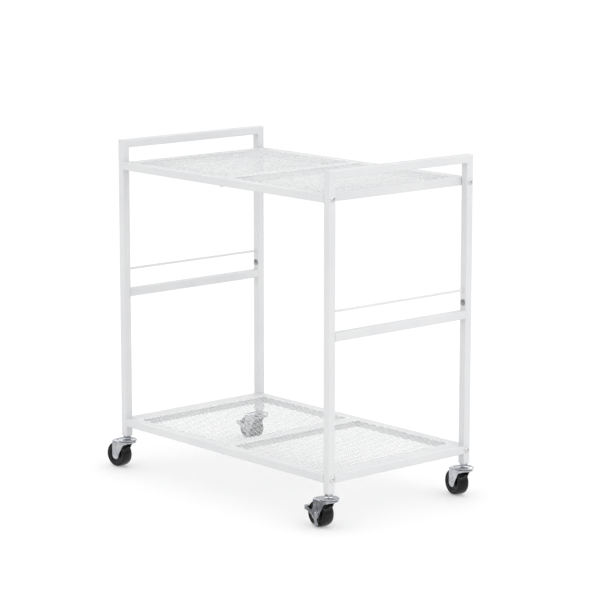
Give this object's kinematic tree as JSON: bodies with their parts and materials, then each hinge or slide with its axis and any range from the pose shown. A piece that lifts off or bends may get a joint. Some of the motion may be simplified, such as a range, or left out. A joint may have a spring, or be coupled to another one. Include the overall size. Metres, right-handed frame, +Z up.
{
  "type": "rolling computer tower stand",
  "caption": "White steel rolling cart with mesh shelves that carries a computer tower between its end frames, on swivel casters with foot brakes.",
  "frame": {"origin": "on the floor, midway between the four posts", "axes": "+X along the long side to the right end, +Y from front to back, +Z up"},
  "size_m": [0.6654, 0.3723, 0.64],
  "materials": {
    "powder_coat": "fine satin powder coat, white",
    "bright_zinc": "bright zinc plating",
    "screw_steel": "zinc plated steel fasteners",
    "black_nylon": "moulded black nylon",
    "tread": "smooth black tread"
  },
  "bodies": {
    "root": {"post_front_left": "powder_coat", "post_front_right": "powder_coat", "post_back_left": "powder_coat", "post_back_right": "powder_coat", "top_rail_left": "powder_coat", "mid_rail_left": "powder_coat", "guard_rod_left": "powder_coat", "bottom_rail_left": "powder_coat", "top_rail_right": "powder_coat", "mid_rail_right": "powder_coat", "guard_rod_right": "powder_coat", "bottom_rail_right": "powder_coat", "upper_front_tube": "powder_coat", "upper_back_tube": "powder_coat", "upper_left_tube": "powder_coat", "upper_right_tube": "powder_coat", "upper_crossbar": "powder_coat", "upper_mesh_left": "powder_coat", "upper_mesh_right": "powder_coat", "lower_front_tube": "powder_coat", "lower_back_tube": "powder_coat", "lower_left_tube": "powder_coat", "lower_right_tube": "powder_coat", "lower_crossbar": "powder_coat", "lower_mesh_left": "powder_coat", "lower_mesh_right": "powder_coat", "shelf_screws": "screw_steel", "shelf_inserts": "screw_steel", "crossbar_screws": "screw_steel", "accessory_nuts": "screw_steel", "stem_inserts": "black_nylon", "caster_stems": "bright_zinc", "swivel_cups": "bright_zinc", "race_balls": "screw_steel"},
    "fork_front_left": {"fork_front_left": "bright_zinc", "axle_front_left": "bright_zinc"},
    "wheel_front_left": {"wheel_front_left": "black_nylon", "tyre_front_left": "tread"},
    "fork_front_right": {"fork_front_right": "bright_zinc", "axle_front_right": "bright_zinc", "brake_rivets_front_right": "bright_zinc"},
    "wheel_front_right": {"wheel_front_right": "black_nylon", "tyre_front_right": "tread"},
    "brake_front_right": {"brake_lever_front_right": "bright_zinc"},
    "fork_back_left": {"fork_back_left": "bright_zinc", "axle_back_left": "bright_zinc", "brake_rivets_back_left": "bright_zinc"},
    "wheel_back_left": {"wheel_back_left": "black_nylon", "tyre_back_left": "tread"},
    "brake_back_left": {"brake_lever_back_left": "bright_zinc"},
    "fork_back_right": {"fork_back_right": "bright_zinc", "axle_back_right": "bright_zinc"},
    "wheel_back_right": {"wheel_back_right": "black_nylon", "tyre_back_right": "tread"}
  },
  "joints": [
    {"name": "swivel_front_left", "type": "hinge", "parent": "root", "child": "fork_front_left", "pos_m": [-0.2925, -0.1675, 0.054], "axis": [0, 0, 1], "continuous": true},
    {"name": "roll_front_left", "type": "hinge", "parent": "fork_front_left", "child": "wheel_front_left", "pos_m": [-0.31436, -0.16999, 0.025], "axis": [-0.1132, 0.9936, 0], "continuous": true},
    {"name": "swivel_front_right", "type": "hinge", "parent": "root", "child": "fork_front_right", "pos_m": [0.2925, -0.1675, 0.054], "axis": [0, 0, 1], "continuous": true},
    {"name": "roll_front_right", "type": "hinge", "parent": "fork_front_right", "child": "wheel_front_right", "pos_m": [0.2705, -0.16712, 0.025], "axis": [0.0175, 0.9998, 0], "continuous": true},
    {"name": "brake_front_right", "type": "hinge", "parent": "fork_front_right", "child": "brake_front_right", "pos_m": [0.2705, -0.16712, 0.039], "axis": [-0.0175, -0.9998, 0], "range_deg": [0, 6]},
    {"name": "swivel_back_left", "type": "hinge", "parent": "root", "child": "fork_back_left", "pos_m": [-0.2925, 0.1675, 0.054], "axis": [0, 0, 1], "continuous": true},
    {"name": "roll_back_left", "type": "hinge", "parent": "fork_back_left", "child": "wheel_back_left", "pos_m": [-0.31445, 0.16597, 0.025], "axis": [-0.0698, 0.9976, 0], "continuous": true},
    {"name": "brake_back_left", "type": "hinge", "parent": "fork_back_left", "child": "brake_back_left", "pos_m": [-0.31445, 0.16597, 0.039], "axis": [0.0698, -0.9976, 0], "range_deg": [0, 6]},
    {"name": "swivel_back_right", "type": "hinge", "parent": "root", "child": "fork_back_right", "pos_m": [0.2925, 0.1675, 0.054], "axis": [0, 0, 1], "continuous": true},
    {"name": "roll_back_right", "type": "hinge", "parent": "fork_back_right", "child": "wheel_back_right", "pos_m": [0.2708, 0.17113, 0.025], "axis": [0.165, 0.9863, 0], "continuous": true}
  ]
}
